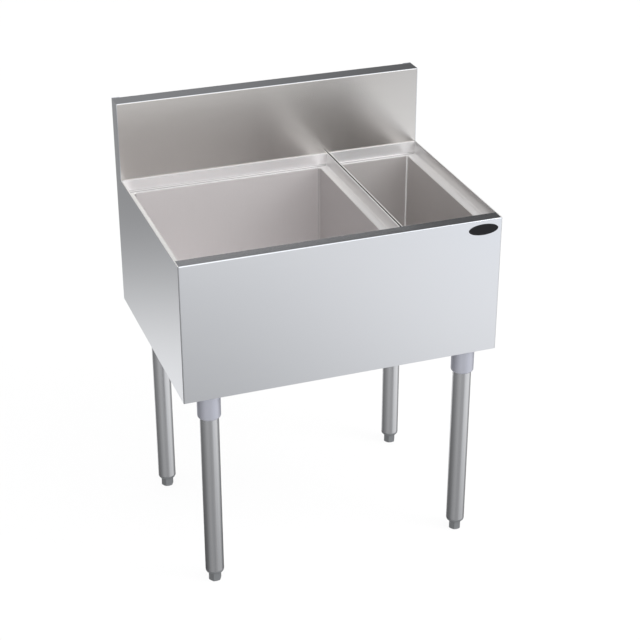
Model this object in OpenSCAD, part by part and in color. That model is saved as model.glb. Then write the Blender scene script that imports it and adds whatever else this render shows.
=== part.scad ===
// Underbar ice bin: a stainless cabinet on four tube legs, with a wide ice well and a narrow bottle
// well dropped into its top, and a boxed splash along the back.
// Origin: centre of the outer box, on the floor. +X right, +Y back, +Z up. Millimetres.

/* [Casing] */
// Width over the side panels
body_w = 711; // [640:1:900]
// Depth from the front face to the back face
body_d = 517; // [460:1:620]
// Height from the bottom edge up to the working rim
body_h = 315; // [240:1:360]
// Height of the working rim above the floor
rim_h = 798; // [760:1:900]
// Height of the splash above the working rim
splash_rise = 178; // [80:1:260]
// Depth of the splash box, front to back
splash_d = 45; // [30:1:60]
// Depth of the flat front rim
rim_d = 31; // [20:1:45]
// Down-turned edge behind the front rim
rim_lip = 12; // [8:1:18]
// Thickness of the casing sheet
sheet = 1.2; // [0.9:0.1:1.6]
// Height of the folded hem along each side panel's rim
hem_h = 12; // [8:1:16]
// Width of the flanges that turn in along the casing's joints
flange_w = 18; // [12:1:22]

/* [Wells] */
// Depth of the recess around the wells, below the rim
recess_drop = 30; // [20:1:38]
// Thickness of the collar and liner sheet
liner_t = 1; // [0.8:0.1:1.5]
// Centre of the divider, right of the cabinet's middle
divider_x = 135.5; // [60:0.5:150]
// Gap between the two rolled edges of the divider
divider_gap = 3; // [2:0.5:5]
// Thickness of the round edges along the divider and the splash
roll_d = 3; // [2.4:0.1:3.6]
// Height of those round edges
roll_h = 9; // [6:1:14]
// Ledge between each outer side of the recess and its well
ledge_side = 21.5; // [15:0.5:30]
// Ledge between the divider and each well
ledge_divider = 19; // [12:1:26]
// Ledge behind each well
ledge_back = 9; // [6:1:20]
// Ledge in front of each well
ledge_front = 16; // [10:1:24]
// Thickness of the foam between the bottom pan and the well floors
foam_under = 28; // [26:1:60]
// Radius of the ice well's upright corners
ice_corner_r = 7; // [6:1:25]
// Radius of the bottle well's upright corners
bottle_corner_r = 3.5; // [3:0.5:12]
// Clearance around the foam blocks
foam_clear = 0.2; // [0.1:0.1:0.5]
// Room in the foam around each sump
sump_room = 1; // [0.5:0.5:2]

/* [Drains] */
// Radius of the dished sump in each well floor
sump_r = 58; // [48:1:60]
// Drop of the sump below the well floor
sump_drop = 6; // [5.5:0.5:8]
// Flat of the sump around the drain's flange
sump_flat = 2; // [1:0.5:4]
// Radius of the drain's flange
drain_flange_r = 36; // [33:1:38]
// Thickness of the drain's flange
drain_flange_t = 3.5; // [3:0.1:4]
// Thickness of the rubber washer under the flange
gasket_t = 1.5; // [1:0.1:2]
// Washer's edge in from the flange's edge
gasket_in = 1; // [0.5:0.5:2]
// Radius of the threaded shank below the flange
shank_r = 22; // [20:0.5:24]
// Length of the threaded shank below the well floor sheet
shank_len = 18; // [15:1:20]
// Clearance around the shank in the sheet and the washer
shank_clear = 0.5; // [0.3:0.1:0.8]
// Radius of the one inch tailpiece
tail_r = 16.7; // [15:0.1:18]
// Radius of the drain's bore
drain_bore_r = 12.7; // [10:0.1:13.5]
// Height of the funnel between the strainer's seat and the bore
funnel_h = 8; // [6:0.5:9]
// Edge of the funnel outside the strainer's outer holes
funnel_edge = 0.2; // [0.1:0.1:0.4]
// Radius of the access hole in the bottom pan
access_r = 31; // [26:1:34]
// Length of the tailpiece below the cabinet's bottom edge
tail_below = 45; // [30:1:70]
// Height of the lock nut on the shank
locknut_h = 9; // [7:1:10]
// Lock nut size across its flats
locknut_af = 58; // [54:1:62]
// Room in the foam around the lock nut's corners
locknut_room = 4; // [3:0.5:4]
// Radius of the lift-out strainer plate
strainer_r = 29.5; // [26:0.5:30]
// Thickness of the strainer plate
strainer_t = 1.5; // [1.2:0.1:1.8]
// Radius of each hole in the strainer
strainer_hole_r = 2.6; // [2.2:0.1:2.8]
// Distance between the strainer's rings of holes
strainer_pitch = 7.6; // [7:0.1:8]
// Clearance around the strainer, and depth of its top below the flange
strainer_clear = 0.5; // [0.4:0.1:0.8]
// Gap between the strainer and its seat
seat_gap = 0.1; // [0.05:0.05:0.2]

/* [Legs] */
// Leg axis in from the cabinet's side
leg_in_x = 62.5; // [50:0.5:90]
// Front leg axis back from the front face
leg_front_y = 33; // [32:0.5:60]
// Back leg axis forward of the back face
leg_back_y = 78; // [34:0.5:110]
// Diameter of the leg tube
tube_d = 41.3; // [38:0.1:43]
// Wall of the leg tube
tube_t = 1.6; // [1.2:0.1:2.5]
// Diameter of the socket's sleeve
sleeve_d = 50.8; // [48:0.1:54]
// Length of the socket below the cabinet's bottom edge
socket_len = 58.5; // [50:0.5:66]
// Radius around the sleeve's lower outer edge
sleeve_round = 3.6; // [2:0.1:3.6]
// Least flat left on the sleeve's lower end
sleeve_flat = 0.4; // [0.3:0.1:0.8]
// Thickness of the socket's plate
plate_t = 3; // [2:0.1:4]
// Width of the socket's plate, left to right
plate_w = 92; // [90:1:98]
// Depth of the socket's plate, front to back
plate_d = 54; // [50:1:56]
// Bolt spacing on the plate, left to right
bolt_dx = 72; // [70:1:74]
// Bolt spacing on the plate, front to back
bolt_dy = 22; // [18:1:28]
// Radius of the bolts that hold the sockets
bolt_r = 4; // [3:0.5:4]
// Clearance between a bolt and its holes
bolt_clear = 0.3; // [0.2:0.1:0.5]
// Clearance between a leg tube and its socket
tube_clear = 0.25; // [0.1:0.05:0.4]
// Radius of the grub screw in each socket
grub_r = 3; // [2.5:0.5:4]
// Height of the grub screw above the socket's lower end
grub_up = 16; // [12:1:20]

/* [Rails and bolts] */
// Thickness of the rail inside the casing
rail_t = 2; // [1.5:0.1:2.5]
// Height of the rail
rail_h = 16; // [13:1:18]
// Width of the rail, front to back
rail_w = 58; // [56:1:60]
// Gap between a rail's ends and the pan's sides
rail_end_gap = 0.5; // [0.2:0.1:0.8]
// Height of the bolt heads
bolt_head_h = 5; // [4:0.5:6]
// Bolt head and nut size across their flats
bolt_head_af = 13; // [12:0.5:13]
// Height of the weld nuts
nut_h = 6.5; // [5:0.5:7]
// Clearance in the nuts' threads
thread_clear = 0.05; // [0.03:0.01:0.1]
// Length of each bolt past its nut
bolt_past = 2; // [1:0.5:4]

/* [Feet] */
// Foot size across its flats
foot_af = 25.4; // [22:0.1:27]
// Height of the foot's hexagon
foot_h = 22; // [18:1:30]
// Chamfer around the foot's sole, in from the flats
foot_chamfer = 0.8; // [0.4:0.1:2.5]
// Turn of the foot's hexagon about the leg
foot_turn = 3; // [-30:1:30]
// Radius of the foot's threaded stud
stud_r = 7.94; // [6:0.01:9]
// Running clearance between the stud and its thread
stud_clear = 0.06; // [0.03:0.01:0.1]
// Length of the stud above the hexagon
stud_len = 62; // [50:1:80]
// Gap between the hexagon and the insert when the foot is screwed home
foot_gap = 0.4; // [0.3:0.1:1]
// Height of the insert that shows below the tube
insert_h = 8.2; // [7:0.1:10]
// Radius of the insert's rounded shoulder
insert_round = 6.2; // [4:0.1:6.2]
// Length of the insert inside the tube
insert_in = 34; // [24:1:45]

/* [Name plate] */
// Width of the blank plate on the front
badge_w = 68; // [50:1:76]
// Height of the blank plate
badge_h = 25; // [18:1:28]
// Thickness of the blank plate
badge_t = 0.6; // [0.5:0.1:0.8]
// Centre of the plate in from the cabinet's right side
badge_in = 43.5; // [42:0.5:120]
// Centre of the plate below the rim
badge_down = 21.5; // [18:0.5:60]

/* [Hidden] */
$fn = 96;
// How far a cut runs past the face that it opens
past = 1;

// Casing planes
half_w = body_w / 2;
front_y = -body_d / 2;
back_y = body_d / 2;
rim_z = rim_h;
bottom_z = rim_h - body_h;
top_z = rim_h + splash_rise;
bend_r = 2 * sheet;
inner_x = half_w - bend_r;
splash_y = back_y - splash_d;
rear_y = back_y - sheet;
rim_back_y = front_y + rim_d;
pan_top_z = bottom_z + sheet;
pan_front_y = front_y + 2 * sheet;
pan_back_y = rear_y - 2 * sheet;

// Recess planes
ledge_z = rim_z - recess_drop;
recess_x = inner_x - liner_t;
recess_front_y = rim_back_y + liner_t;
recess_back_y = splash_y - roll_d;
ice_edge_x = divider_x - divider_gap / 2;
bottle_edge_x = divider_x + divider_gap / 2;

// Wells, each as the low and high corner of its opening
floor_z = pan_top_z + foam_under + liner_t;
well_y = [recess_front_y + ledge_front, recess_back_y - ledge_back];
ice_well = [
  [-recess_x + ledge_side, well_y[0]],
  [ice_edge_x - roll_d - ledge_divider, well_y[1]]
];
bottle_well = [
  [bottle_edge_x + roll_d + ledge_divider, well_y[0]],
  [recess_x - ledge_side, well_y[1]]
];
ice_drain = (ice_well[0] + ice_well[1]) / 2;
bottle_drain = (bottle_well[0] + bottle_well[1]) / 2;
drains = [ice_drain, bottle_drain];

// Drain heights and radii
sump_z = floor_z - sump_drop;
flange_under_z = sump_z + gasket_t;
flange_top_z = flange_under_z + drain_flange_t;
seat_z = flange_top_z - strainer_t - strainer_clear;
seat_r = strainer_r + strainer_clear;
funnel_r = 2 * strainer_pitch + strainer_hole_r + funnel_edge;
shank_end_z = sump_z - liner_t - shank_len;
tail_end_z = bottom_z - tail_below;
sump_flat_r = drain_flange_r + sump_flat;
liner_hole_r = shank_r + shank_clear;
gasket_r = drain_flange_r - gasket_in;
pocket_r = locknut_af / sqrt(3) + locknut_room;

// Leg places, heights and radii
leg_x = half_w - leg_in_x;
leg_front = front_y + leg_front_y;
leg_back = back_y - leg_back_y;
socket_end_z = bottom_z - socket_len;
tube_r = tube_d / 2;
tube_bore_r = tube_r - tube_t;
sleeve_r = sleeve_d / 2;
sleeve_bore_r = tube_r + tube_clear;
sleeve_fillet = min(sleeve_round, sleeve_r - sleeve_bore_r - sleeve_flat);
tube_top_z = bottom_z - tube_clear;
foot_corner_r = foot_af / sqrt(3);
chamfer_angle = 30;
insert_end_z = foot_h + foot_gap;
tube_end_z = insert_end_z + insert_h;
bolt_hole_r = bolt_r + bolt_clear;
bolt_end_z = pan_top_z + rail_t + nut_h + bolt_past;

// Points around the oval plate
oval_sides = 60;

// A box given by its two opposite corners
module box(low, high) {
  translate(low) cube(high - low);
}

// Rectangle between two corners with round corners, as plain squares and circles
module round_rect(low, high, r) {
  translate([low[0] + r, low[1]]) square([high[0] - low[0] - 2 * r, high[1] - low[1]]);
  translate([low[0], low[1] + r]) square([high[0] - low[0], high[1] - low[1] - 2 * r]);
  for (x = [low[0] + r, high[0] - r], y = [low[1] + r, high[1] - r]) translate([x, y]) circle(r);
}

// Straight run of sheet from a to b, its thickness on the right hand side of the run
module sheet_run(a, b, start_cut, end_cut) {
  run = b - a;
  length = norm(run);
  translate(a) rotate(atan2(run[1], run[0]))
    translate([start_cut, -sheet]) square([length - start_cut - end_cut, sheet]);
}

// Quarter bend at corner p, coming along u and leaving along v
module sheet_bend(p, u, v) {
  centre = p - u * bend_r + v * bend_r;
  translate(centre) intersection() {
    difference() {
      circle(bend_r);
      circle(bend_r - sheet);
    }
    polygon([[0, 0], u * bend_r, (u - v) * bend_r, -v * bend_r]);
  }
}

// Folded sheet whose outer face follows the points, every fold a right hand right angle
module folded_sheet(points) {
  last = len(points) - 1;
  function unit(i) = (points[i + 1] - points[i]) / norm(points[i + 1] - points[i]);
  for (i = [0 : last - 1])
    sheet_run(points[i], points[i + 1], i > 0 ? bend_r : 0, i < last - 1 ? bend_r : 0);
  for (i = [1 : last - 1]) sheet_bend(points[i], unit(i - 1), unit(i));
}

// Outline in the YZ plane drawn out along X between two planes
module along_x(x0, x1) {
  translate([x0, 0, 0]) rotate([90, 0, 90]) linear_extrude(x1 - x0) children();
}

// Front face, its flat rim and the lip behind the rim, folded from one sheet
module front_apron() {
  color("#c6c8cb") along_x(-inner_x, inner_x)
    folded_sheet([
      [front_y, bottom_z],
      [front_y, rim_z],
      [rim_back_y, rim_z],
      [rim_back_y, rim_z - rim_lip]
    ]);
}

// Side panel: an L shaped plate that also closes the splash, with a round front corner, a folded
// hem along the rim and a flange that turns in behind the rear panel
module side_panel() {
  x0 = -half_w;
  along_x(x0, x0 + sheet) polygon([
    [front_y + bend_r, bottom_z],
    [back_y, bottom_z],
    [back_y, top_z],
    [splash_y, top_z],
    [splash_y, rim_z],
    [front_y + bend_r, rim_z]
  ]);
  box([x0 + sheet, front_y + bend_r, rim_z - hem_h], [x0 + bend_r, splash_y, rim_z]);
  box([x0 + sheet, rear_y, bottom_z], [x0 + flange_w, back_y, top_z]);
  translate([0, 0, bottom_z]) linear_extrude(body_h) sheet_bend([x0, front_y], [0, -1], [1, 0]);
}

module side_panel_left() {
  color("#b4b7ba") side_panel();
}

module side_panel_right() {
  color("#b4b7ba") mirror([1, 0, 0]) side_panel();
}

// Splash: face, top and a short back flange, folded from one sheet
module backsplash() {
  color("#a9a6a4") along_x(-half_w + sheet, half_w - sheet)
    folded_sheet([
      [splash_y, ledge_z - liner_t],
      [splash_y, top_z],
      [rear_y, top_z],
      [rear_y, top_z - flange_w]
    ]);
}

// Flat sheet that closes the back, up to the splash's flange
module rear_panel() {
  color("#b0b2b4")
    box([-half_w + sheet, rear_y - sheet, bottom_z], [half_w - sheet, rear_y, top_z - flange_w]);
}

// Pan that closes the bottom, its edges turned up inside the casing, with notched front corners,
// an access hole under each drain and the holes for the socket bolts
module bottom_pan() {
  side = half_w - sheet;
  cut_top_z = bottom_z + flange_w + past;
  color("#a6a8aa") difference() {
    box([-side, front_y + sheet, bottom_z], [side, rear_y - sheet, bottom_z + flange_w]);
    box([-side + sheet, pan_front_y, pan_top_z], [side - sheet, pan_back_y, cut_top_z]);
    for (x = [-side - past, side - bend_r])
      box([x, front_y, bottom_z - past], [x + bend_r + past, pan_front_y + sheet, cut_top_z]);
    for (d = drains) translate([d[0], d[1], bottom_z - past])
      cylinder(h = sheet + 2 * past, r = access_r);
    bolt_holes(bottom_z - past, pan_top_z + past);
  }
}

// Holes for all the socket bolts between two heights
module bolt_holes(low_z, high_z) {
  at_bolts() translate([0, 0, low_z]) cylinder(h = high_z - low_z, r = bolt_hole_r);
}

// Places a child at each socket bolt
module at_bolts() {
  for (x = [-leg_x, leg_x], y = [leg_front, leg_back])
    for (dx = [-bolt_dx / 2, bolt_dx / 2], dy = [-bolt_dy / 2, bolt_dy / 2])
      translate([x + dx, y + dy, 0]) children();
}

// Sheet edge folded round to a thick soft lip, running along Y with its face at x
module edge_roll(length) {
  r = roll_d / 2;
  rotate([90, 0, 0]) translate([0, 0, -length]) linear_extrude(length) {
    translate([0, -roll_h]) square([roll_d, roll_h - r]);
    translate([r, -r]) intersection() {
      circle(r);
      translate([-r, 0]) square([roll_d, r]);
    }
  }
}

// Collar around one well: a recess with upright walls and a flat ledge that the liner hangs from
module collar(x0, x1, well, corner_r, roll_x) {
  grow = [liner_t, liner_t];
  difference() {
    box([x0, rim_back_y, ledge_z - liner_t], [x1, recess_back_y + liner_t, rim_z - roll_d / 2]);
    box([x0 + liner_t, recess_front_y, ledge_z], [x1 - liner_t, recess_back_y, rim_z]);
    translate([0, 0, ledge_z - 2 * liner_t]) linear_extrude(3 * liner_t)
      round_rect(well[0] - grow, well[1] + grow, corner_r + liner_t);
  }
  translate([roll_x, rim_back_y, rim_z]) edge_roll(splash_y - rim_back_y);
  translate([x0, recess_back_y + roll_d, rim_z]) rotate([0, 0, -90]) edge_roll(x1 - x0);
}

module ice_well_collar() {
  color("#c4c2c2")
    collar(-inner_x, ice_edge_x - roll_d + liner_t, ice_well, ice_corner_r, ice_edge_x - roll_d);
}

module bottle_well_collar() {
  color("#c4c2c2")
    collar(bottle_edge_x + roll_d - liner_t, inner_x, bottle_well, bottle_corner_r, bottle_edge_x);
}

// Welded tub of one well, with a dished sump round its drain hole
module liner(well, corner_r, drain) {
  grow = [liner_t, liner_t];
  difference() {
    translate([0, 0, floor_z - liner_t]) linear_extrude(ledge_z - floor_z + liner_t)
      round_rect(well[0] - grow, well[1] + grow, corner_r + liner_t);
    translate([0, 0, floor_z]) linear_extrude(ledge_z - floor_z + past)
      round_rect(well[0], well[1], corner_r);
    translate([drain[0], drain[1], floor_z - 2 * liner_t]) cylinder(h = 4 * liner_t, r = sump_r);
  }
  translate([drain[0], drain[1], 0]) rotate_extrude() polygon([
    [sump_r, floor_z],
    [sump_flat_r, sump_z],
    [liner_hole_r, sump_z],
    [liner_hole_r, sump_z - liner_t],
    [sump_flat_r, sump_z - liner_t],
    [sump_r, floor_z - liner_t]
  ]);
}

module ice_well_liner() {
  color("#b9b6b5") liner(ice_well, ice_corner_r, ice_drain);
}

module bottle_well_liner() {
  color("#a19d9a") liner(bottle_well, bottle_corner_r, bottle_drain);
}

// Foam block around one liner, with room for the sump, the lock nut and the leg rails
module foam(x0, x1, well, corner_r, drain) {
  grow = [liner_t + foam_clear, liner_t + foam_clear];
  difference() {
    box([x0, pan_front_y + foam_clear, pan_top_z], [x1, pan_back_y - foam_clear, ledge_z - liner_t]);
    translate([0, 0, floor_z - liner_t]) linear_extrude(ledge_z - floor_z + liner_t)
      round_rect(well[0] - grow, well[1] + grow, corner_r + liner_t + foam_clear);
    translate([drain[0], drain[1], sump_z - liner_t - foam_clear])
      cylinder(h = body_h, r = sump_r + sump_room);
    translate([drain[0], drain[1], bottom_z]) cylinder(h = body_h, r = pocket_r);
    rail_pocket(front_y, leg_front + rail_w / 2 + foam_clear);
    rail_pocket(leg_back - rail_w / 2 - foam_clear, leg_back + rail_w / 2 + foam_clear);
  }
}

// Space that a rail takes out of the foam, between two planes
module rail_pocket(y0, y1) {
  box([-half_w, y0, bottom_z], [half_w, y1, pan_top_z + rail_h + foam_clear]);
}

module ice_well_foam() {
  color("#e6dfc0")
    foam(-inner_x + foam_clear, divider_x - foam_clear / 2, ice_well, ice_corner_r, ice_drain);
}

module bottle_well_foam() {
  color("#e6dfc0")
    foam(divider_x + foam_clear / 2, inner_x - foam_clear, bottle_well, bottle_corner_r, bottle_drain);
}

// Channel welded across the pan, that the sockets are bolted up to
module leg_rail(y) {
  x = inner_x - rail_end_gap;
  color("#9a9c9e") difference() {
    box([-x, y - rail_w / 2, pan_top_z], [x, y + rail_w / 2, pan_top_z + rail_h]);
    box(
      [-x - past, y - rail_w / 2 + rail_t, pan_top_z + rail_t],
      [x + past, y + rail_w / 2 - rail_t, ledge_z]
    );
    bolt_holes(bottom_z, pan_top_z + rail_t + past);
  }
}

// Drain: a flange with a seat for the strainer, a threaded shank and a one inch tailpiece
module drain_body(drain) {
  color("#c9cbcd") translate([drain[0], drain[1], 0]) rotate_extrude() polygon([
    [seat_r, flange_top_z],
    [drain_flange_r, flange_top_z],
    [drain_flange_r, flange_under_z],
    [shank_r, flange_under_z],
    [shank_r, shank_end_z],
    [tail_r, shank_end_z],
    [tail_r, tail_end_z],
    [drain_bore_r, tail_end_z],
    [drain_bore_r, seat_z - funnel_h],
    [funnel_r, seat_z],
    [seat_r, seat_z]
  ]);
}

// Ring between two radii
module ring(low_z, height, outer_r, inner_r) {
  translate([0, 0, low_z]) difference() {
    cylinder(h = height, r = outer_r);
    translate([0, 0, -past]) cylinder(h = height + 2 * past, r = inner_r);
  }
}

// Rubber washer under each drain flange
module drain_gaskets() {
  color("#2c2c2c") for (d = drains) translate([d[0], d[1], 0])
    ring(sump_z, gasket_t, gasket_r, liner_hole_r);
}

// Hexagon nut with a plain round hole
module hex_nut(af, height, hole_r) {
  difference() {
    cylinder(h = height, r = af / sqrt(3), $fn = 6);
    translate([0, 0, -past]) cylinder(h = height + 2 * past, r = hole_r);
  }
}

// Lock nut that pulls each drain down onto its sump
module drain_locknuts() {
  color("#b08d57") for (d = drains) translate([d[0], d[1], sump_z - liner_t - locknut_h])
    hex_nut(locknut_af, locknut_h, shank_r + thread_clear);
}

// Perforated plate that lifts out of the drain
module strainer(drain) {
  color("#d0d2d4") translate([drain[0], drain[1], seat_z + seat_gap]) difference() {
    cylinder(h = strainer_t, r = strainer_r);
    translate([0, 0, -past]) cylinder(h = strainer_t + 2 * past, r = strainer_hole_r);
    for (ring_no = [1, 2], i = [0 : 6 * ring_no - 1])
      rotate([0, 0, i * 60 / ring_no]) translate([ring_no * strainer_pitch, 0, -past])
        cylinder(h = strainer_t + 2 * past, r = strainer_hole_r);
  }
}

// Leg socket: a plate under the pan and a sleeve with a rounded lower edge
module socket(x, y) {
  f = sleeve_fillet;
  plate_z = bottom_z - plate_t;
  color("#b8bac4") difference() {
    union() {
      translate([x, y, 0]) rotate_extrude() {
        translate([0, socket_end_z + f]) square([sleeve_r, bottom_z - socket_end_z - f]);
        translate([0, socket_end_z]) square([sleeve_r - f, f]);
        translate([sleeve_r - f, socket_end_z + f]) intersection() {
          circle(f);
          translate([0, -f]) square([f, f]);
        }
      }
      box([x - plate_w / 2, y - plate_d / 2, plate_z], [x + plate_w / 2, y + plate_d / 2, bottom_z]);
    }
    translate([x, y, socket_end_z - past]) cylinder(h = socket_len + 2 * past, r = sleeve_bore_r);
    translate([x, y, socket_end_z + grub_up]) rotate([-90, 0, 0])
      cylinder(h = sleeve_r + past, r = grub_r + thread_clear);
    bolt_holes(plate_z - past, bottom_z + past);
  }
}

// Bolts that hold the sockets, heads below
module socket_bolts() {
  head_z = bottom_z - plate_t - bolt_head_h;
  color("#c0c2c4") at_bolts() {
    translate([0, 0, head_z]) cylinder(h = bolt_head_h, r = bolt_head_af / sqrt(3), $fn = 6);
    translate([0, 0, head_z]) cylinder(h = bolt_end_z - head_z, r = bolt_r);
  }
}

// Nuts welded inside the rails
module socket_nuts() {
  color("#a8aaac") at_bolts() translate([0, 0, pan_top_z + rail_t])
    hex_nut(bolt_head_af, nut_h, bolt_r + thread_clear);
}

// Grub screw behind each sleeve, that pinches the leg tube
module socket_grub_screws() {
  color("#8d8f91") for (x = [-leg_x, leg_x], y = [leg_front, leg_back])
    translate([x, y + tube_r, socket_end_z + grub_up]) rotate([-90, 0, 0])
      cylinder(h = sleeve_r - tube_r, r = grub_r);
}

// Round leg tube
module leg_tube(x, y) {
  color("#c3c5c8") translate([x, y, 0])
    ring(tube_end_z, tube_top_z - tube_end_z, tube_r, tube_bore_r);
}

// Bored plug pressed into the tube's end, with a rounded shoulder
module leg_insert(x, y) {
  centre_r = tube_r - insert_round;
  bore_r = stud_r + stud_clear;
  color("#8b8d90") translate([x, y, 0]) difference() {
    rotate_extrude() {
      translate([0, insert_end_z]) square([centre_r, insert_round]);
      translate([centre_r, insert_end_z + insert_round]) intersection() {
        circle(insert_round);
        translate([0, -insert_round]) square([insert_round, insert_round]);
      }
      translate([0, insert_end_z + insert_round]) square([tube_r, insert_h - insert_round]);
      translate([0, tube_end_z]) square([tube_bore_r, insert_in]);
    }
    translate([0, 0, insert_end_z - past]) cylinder(h = insert_h + insert_in + 2 * past, r = bore_r);
  }
}

// Hexagon foot with a chamfered sole, on a threaded stud that runs in the insert
module foot(x, y) {
  edge_r = foot_corner_r + past;
  sole_r = foot_af / 2 - foot_chamfer;
  rise = (edge_r - sole_r) * tan(chamfer_angle);
  color("#77797c") translate([x, y, 0]) {
    intersection() {
      rotate([0, 0, foot_turn]) cylinder(h = foot_h, r = foot_corner_r, $fn = 6);
      rotate_extrude() polygon([
        [0, 0], [sole_r, 0], [edge_r, rise], [edge_r, foot_h], [0, foot_h]
      ]);
    }
    translate([0, 0, foot_h - past]) cylinder(h = stud_len + past, r = stud_r);
  }
}

// Blank oval plate on the front face
module name_plate() {
  color("#2b2b2d") translate([half_w - badge_in, front_y, rim_z - badge_down])
    rotate([90, 0, 0]) linear_extrude(badge_t)
      polygon([for (i = [0:oval_sides - 1])
        [badge_w / 2 * cos(i * 360 / oval_sides), badge_h / 2 * sin(i * 360 / oval_sides)]]);
}

front_apron();
side_panel_left();
side_panel_right();
backsplash();
rear_panel();
bottom_pan();
ice_well_collar();
bottle_well_collar();
ice_well_liner();
bottle_well_liner();
ice_well_foam();
bottle_well_foam();
leg_rail(leg_front);  // leg_rail_front
leg_rail(leg_back);  // leg_rail_back
drain_body(ice_drain);  // ice_drain_body
drain_body(bottle_drain);  // bottle_drain_body
drain_gaskets();
drain_locknuts();
strainer(ice_drain);  // ice_strainer
strainer(bottle_drain);  // bottle_strainer
socket(-leg_x, leg_front);  // socket_front_left
socket(leg_x, leg_front);  // socket_front_right
socket(-leg_x, leg_back);  // socket_back_left
socket(leg_x, leg_back);  // socket_back_right
socket_bolts();
socket_nuts();
socket_grub_screws();
leg_tube(-leg_x, leg_front);  // leg_front_left
leg_tube(leg_x, leg_front);  // leg_front_right
leg_tube(-leg_x, leg_back);  // leg_back_left
leg_tube(leg_x, leg_back);  // leg_back_right
leg_insert(-leg_x, leg_front);  // insert_front_left
leg_insert(leg_x, leg_front);  // insert_front_right
leg_insert(-leg_x, leg_back);  // insert_back_left
leg_insert(leg_x, leg_back);  // insert_back_right
foot(-leg_x, leg_front);  // foot_front_left
foot(leg_x, leg_front);  // foot_front_right
foot(-leg_x, leg_back);  // foot_back_left
foot(leg_x, leg_back);  // foot_back_right
name_plate();
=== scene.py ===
# %% [markdown]
# # An underbar ice bin
#
# A stainless cabinet on four tube legs stands behind a bar. A wide well for ice and a narrow one for
# bottles are sunk in its top, and a boxed splash runs along its back. The cabinet's measured solids are
# loaded first and stay where they are. All that shows is then modelled over them, the way a sheet metal
# shop would fold and weld it.

# %% Load the measured frame
import math

import bmesh
import bpy
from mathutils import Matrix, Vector


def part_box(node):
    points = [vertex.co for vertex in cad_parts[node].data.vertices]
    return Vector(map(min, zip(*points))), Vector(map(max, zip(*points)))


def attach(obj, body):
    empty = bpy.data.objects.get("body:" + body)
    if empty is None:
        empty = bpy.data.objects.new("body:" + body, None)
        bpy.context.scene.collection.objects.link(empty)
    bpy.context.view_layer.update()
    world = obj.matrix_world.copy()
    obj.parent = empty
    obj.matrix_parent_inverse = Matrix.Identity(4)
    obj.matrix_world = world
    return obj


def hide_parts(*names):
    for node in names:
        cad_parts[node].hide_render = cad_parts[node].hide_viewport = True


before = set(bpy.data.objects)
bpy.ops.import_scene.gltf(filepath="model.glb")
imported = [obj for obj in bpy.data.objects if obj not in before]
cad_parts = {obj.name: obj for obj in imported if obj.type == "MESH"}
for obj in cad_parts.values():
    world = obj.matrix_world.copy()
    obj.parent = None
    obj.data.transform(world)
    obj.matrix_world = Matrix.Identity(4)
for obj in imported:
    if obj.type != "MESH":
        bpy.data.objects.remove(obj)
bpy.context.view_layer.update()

# %% [markdown]
# ## The camera
#
# The photographer stood in front of the bin, a little to its left, and looked down on it. A long lens
# keeps the upright edges nearly parallel. It could be placed by eye, but was worked out from the
# cabinet's corners, so that the edges fall on the photographed ones.

# %% Place the camera
EYE = (-1.06471, -3.03162, 2.17704)
TILT = (62.2808, -0.0275, -19.9821)  # degrees about X, Y and Z
lens = bpy.data.cameras.new("product_camera")
lens.lens, lens.sensor_width, lens.clip_end = 89.90, 36.0, 60.0
camera = bpy.data.objects.new("product_camera", lens)
camera.location = EYE
camera.rotation_euler = [math.radians(a) for a in TILT]
scene = bpy.context.scene
scene.collection.objects.link(camera)
bpy.context.scene.camera = camera
scene.view_settings.view_transform = "Standard"
print("camera looks down by", round(90 - TILT[0], 1), "degrees")

# %% [markdown]
# ## Tools for the bench
#
# Sizes are written in millimetres, as on a drawing, and turned into metres where Blender needs them.
# Operators act on whatever is selected, and the loaded solids arrive selected, so each step starts by
# letting go of everything. Edges and faces are then picked by where they are, as a hand would pick them.

# %% Millimetres and selections
MM = 0.001


def metres(point):
    return tuple(v * MM for v in point)


def let_go():
    if bpy.context.mode != "OBJECT":
        bpy.ops.object.mode_set(mode="OBJECT")
    bpy.ops.object.select_all(action="DESELECT")


def take(piece):
    """Makes one piece the only selected and active object, out of edit mode."""
    let_go()
    piece.select_set(True)
    bpy.context.view_layer.objects.active = piece
    return piece


def settle(name):
    """Names the new piece and moves its place into its mesh."""
    piece = bpy.context.active_object
    piece.name = piece.data.name = name
    bpy.ops.object.transform_apply(location=True, rotation=True, scale=True)
    return piece


def pick_all():
    bpy.ops.mesh.select_all(action="SELECT")


def pick(kind, test):
    """Selects, in edit mode, the edges or faces that pass the test on their middle and direction."""
    mesh = bpy.context.edit_object.data
    bpy.ops.mesh.select_mode(type=kind)
    bpy.ops.mesh.select_all(action="DESELECT")
    cage = bmesh.from_edit_mesh(mesh)
    cage.normal_update()
    for part in {"EDGE": cage.edges, "FACE": cage.faces}[kind]:
        if kind == "EDGE":
            a, b = (v.co for v in part.verts)
            middle, way = (a + b) / 2, (b - a).normalized()
        else:
            middle, way = part.calc_center_median(), part.normal
        part.select_set(bool(test(middle / MM, way)))
    cage.select_flush_mode()
    bmesh.update_edit_mesh(mesh)


def near(a, b, slack=0.02):
    return abs(a - b) < slack


def along(axis, way):
    """True for an edge that runs along an axis, or for a face that looks along it."""
    return abs(way["XYZ".index(axis)]) > 0.9


print("one millimetre is", MM, "of Blender's units")


# %% [markdown]
# A folded sheet starts as a flat plane with its real size. An edge is pulled out to make the next flat,
# the folds are rounded with a bevel as wide as the press brake's radius, and the sheet gets its thickness
# last, on its inner side.

# %% Sheet metal moves
TURNS = {"-Y": (90, 0, 0), "+Y": (-90, 0, 0), "-X": (0, -90, 0), "+Z": (0, 0, 0)}


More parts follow.
